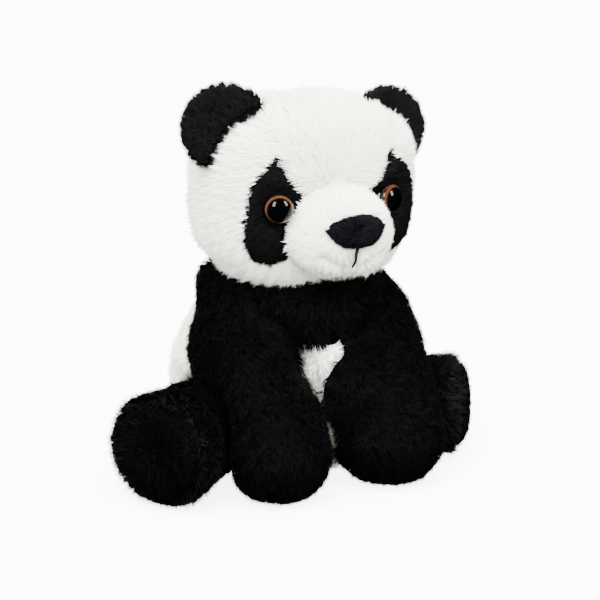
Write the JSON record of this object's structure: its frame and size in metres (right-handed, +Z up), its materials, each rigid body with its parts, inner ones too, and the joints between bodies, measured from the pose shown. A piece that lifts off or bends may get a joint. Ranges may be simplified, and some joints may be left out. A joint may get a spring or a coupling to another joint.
{
  "type": "plush panda",
  "caption": "Sitting stuffed toy panda of sewn pile fabric with turning head, bending ears, limbs and tail.",
  "frame": {"origin": "on the surface it sits on, under the middle of its overall width and depth", "axes": "+Z up; the face looks along -Y; the toy's own left is +X"},
  "size_m": [0.2084, 0.159, 0.2116],
  "materials": {
    "mat_yoke_front": "soft black pile",
    "mat_yoke_back": "soft black pile",
    "mat_belly_panel": "long soft white pile",
    "mat_back_panel_left": "long soft white pile",
    "mat_back_panel_right": "long soft white pile",
    "mat_seat_panel": "long soft white pile",
    "mat_torso_stuffing": "loose polyester fibre",
    "mat_pellet_bag": "thin cloth bag of pellets",
    "mat_care_label": "blank woven ribbon",
    "mat_neck_stuffing": "loose polyester fibre",
    "mat_forehead_gusset": "long soft white pile",
    "mat_cheek_left": "long soft white pile",
    "mat_cheek_right": "long soft white pile",
    "mat_nape_left": "long soft white pile",
    "mat_nape_right": "long soft white pile",
    "mat_chin_panel": "long soft white pile",
    "mat_muzzle_left": "short white pile",
    "mat_muzzle_right": "short white pile",
    "mat_eye_patch_left": "soft black pile",
    "mat_eye_patch_right": "soft black pile",
    "mat_eye_left": "glossy dark dome with a copper brown ring",
    "mat_eye_right": "glossy dark dome with a copper brown ring",
    "mat_eye_washer_left": "plain moulded",
    "mat_eye_washer_right": "plain moulded",
    "mat_nose": "short pile",
    "mat_mouth_stitch": "embroidery thread",
    "mat_head_stuffing": "loose polyester fibre",
    "mat_ear_front_left": "soft black pile",
    "mat_ear_back_left": "soft black pile",
    "mat_ear_front_right": "soft black pile",
    "mat_ear_back_right": "soft black pile",
    "mat_arm_outer_left": "soft black pile",
    "mat_arm_inner_left": "soft black pile",
    "mat_arm_stuffing_left": "loose polyester fibre",
    "mat_arm_outer_right": "soft black pile",
    "mat_arm_inner_right": "soft black pile",
    "mat_arm_stuffing_right": "loose polyester fibre",
    "mat_leg_front_left": "soft black pile",
    "mat_leg_back_left": "soft black pile",
    "mat_sole_left": "soft black pile",
    "mat_leg_stuffing_left": "loose polyester fibre",
    "mat_leg_front_right": "soft black pile",
    "mat_leg_back_right": "soft black pile",
    "mat_sole_right": "soft black pile",
    "mat_leg_stuffing_right": "loose polyester fibre",
    "mat_tail_top": "long soft white pile",
    "mat_tail_bottom": "long soft white pile"
  },
  "bodies": {
    "torso": {"yoke_front": "mat_yoke_front", "yoke_back": "mat_yoke_back", "belly_panel": "mat_belly_panel", "back_panel_left": "mat_back_panel_left", "back_panel_right": "mat_back_panel_right", "seat_panel": "mat_seat_panel", "torso_stuffing": "mat_torso_stuffing", "pellet_bag": "mat_pellet_bag", "care_label": "mat_care_label"},
    "neck": {"neck_stuffing": "mat_neck_stuffing"},
    "head": {"forehead_gusset": "mat_forehead_gusset", "cheek_left": "mat_cheek_left", "cheek_right": "mat_cheek_right", "nape_left": "mat_nape_left", "nape_right": "mat_nape_right", "chin_panel": "mat_chin_panel", "muzzle_left": "mat_muzzle_left", "muzzle_right": "mat_muzzle_right", "eye_patch_left": "mat_eye_patch_left", "eye_patch_right": "mat_eye_patch_right", "eye_left": "mat_eye_left", "eye_right": "mat_eye_right", "eye_washer_left": "mat_eye_washer_left", "eye_washer_right": "mat_eye_washer_right", "nose": "mat_nose", "mouth_stitch": "mat_mouth_stitch", "head_stuffing": "mat_head_stuffing"},
    "ear_left": {"ear_front_left": "mat_ear_front_left", "ear_back_left": "mat_ear_back_left"},
    "ear_right": {"ear_front_right": "mat_ear_front_right", "ear_back_right": "mat_ear_back_right"},
    "arm_left": {"arm_outer_left": "mat_arm_outer_left", "arm_inner_left": "mat_arm_inner_left", "arm_stuffing_left": "mat_arm_stuffing_left"},
    "arm_right": {"arm_outer_right": "mat_arm_outer_right", "arm_inner_right": "mat_arm_inner_right", "arm_stuffing_right": "mat_arm_stuffing_right"},
    "leg_left": {"leg_front_left": "mat_leg_front_left", "leg_back_left": "mat_leg_back_left", "sole_left": "mat_sole_left", "leg_stuffing_left": "mat_leg_stuffing_left"},
    "leg_right": {"leg_front_right": "mat_leg_front_right", "leg_back_right": "mat_leg_back_right", "sole_right": "mat_sole_right", "leg_stuffing_right": "mat_leg_stuffing_right"},
    "tail": {"tail_top": "mat_tail_top", "tail_bottom": "mat_tail_bottom"}
  },
  "joints": [
    {"name": "neck_turn", "type": "hinge", "parent": "torso", "child": "neck", "pos_m": [0, -0.0095, 0.11], "axis": [0, 0, 1], "range_deg": [-20, 20], "stiffness_Nm_per_rad": 0.5},
    {"name": "neck_nod", "type": "hinge", "parent": "neck", "child": "head", "pos_m": [0, -0.0095, 0.11], "axis": [1, 0, 0], "range_deg": [-8, 8], "stiffness_Nm_per_rad": 0.8},
    {"name": "ear_left_bend", "type": "hinge", "parent": "head", "child": "ear_left", "pos_m": [0.04766, -0.01742, 0.18582], "axis": [0.8008, 0.2146, -0.5592], "range_deg": [-20, 20], "stiffness_Nm_per_rad": 0.05},
    {"name": "ear_right_bend", "type": "hinge", "parent": "head", "child": "ear_right", "pos_m": [-0.04778, -0.01843, 0.18751], "axis": [0.8008, -0.2146, 0.5592], "range_deg": [-20, 20], "stiffness_Nm_per_rad": 0.05},
    {"name": "shoulder_left", "type": "hinge", "parent": "torso", "child": "arm_left", "pos_m": [0.041, -0.0155, 0.0795], "axis": [-1, 0, 0], "range_deg": [0, 30], "stiffness_Nm_per_rad": 0.4},
    {"name": "shoulder_right", "type": "hinge", "parent": "torso", "child": "arm_right", "pos_m": [-0.041, -0.0155, 0.0795], "axis": [-1, 0, 0], "range_deg": [0, 30], "stiffness_Nm_per_rad": 0.4},
    {"name": "hip_left", "type": "hinge", "parent": "torso", "child": "leg_left", "pos_m": [0.044, 0.0025, 0.0285], "axis": [-0.454, -0.891, 0], "range_deg": [-3, 12], "stiffness_Nm_per_rad": 0.4},
    {"name": "hip_right", "type": "hinge", "parent": "torso", "child": "leg_right", "pos_m": [-0.044, 0.0025, 0.0285], "axis": [-0.454, 0.891, 0], "range_deg": [-3, 12], "stiffness_Nm_per_rad": 0.4},
    {"name": "tail_wag", "type": "hinge", "parent": "torso", "child": "tail", "pos_m": [0, 0.0625, 0.032], "axis": [1, 0, 0], "range_deg": [-12, 12], "stiffness_Nm_per_rad": 0.05}
  ]
}
